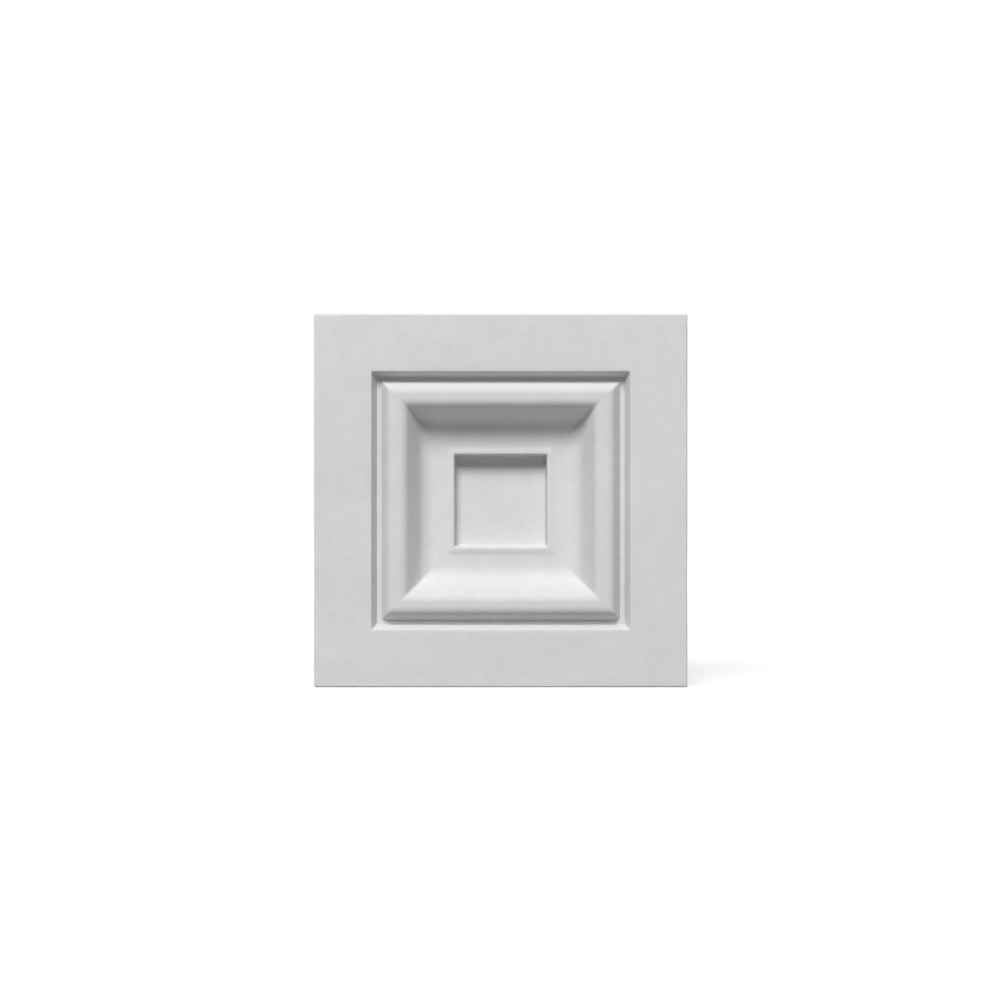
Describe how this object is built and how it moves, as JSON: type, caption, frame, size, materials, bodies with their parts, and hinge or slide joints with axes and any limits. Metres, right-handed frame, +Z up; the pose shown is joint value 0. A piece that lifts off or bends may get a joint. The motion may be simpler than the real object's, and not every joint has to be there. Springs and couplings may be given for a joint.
{
  "type": "corner rosette block",
  "caption": "Square corner rosette block for casings, with a plain border, a grooved and rounded ogee moulding, a low field and a square recess in the middle.",
  "frame": {"origin": "the middle of the flat back face, where the block is fixed to the wall", "axes": "+Z up the wall, +X to the right seen from the front, +Y into the wall, so the front looks along -Y"},
  "size_m": [0.095, 0.025, 0.095],
  "materials": {
    "primed_casting": "matte"
  },
  "bodies": {
    "root": {"rosette_block": "primed_casting"}
  },
  "joints": []
}
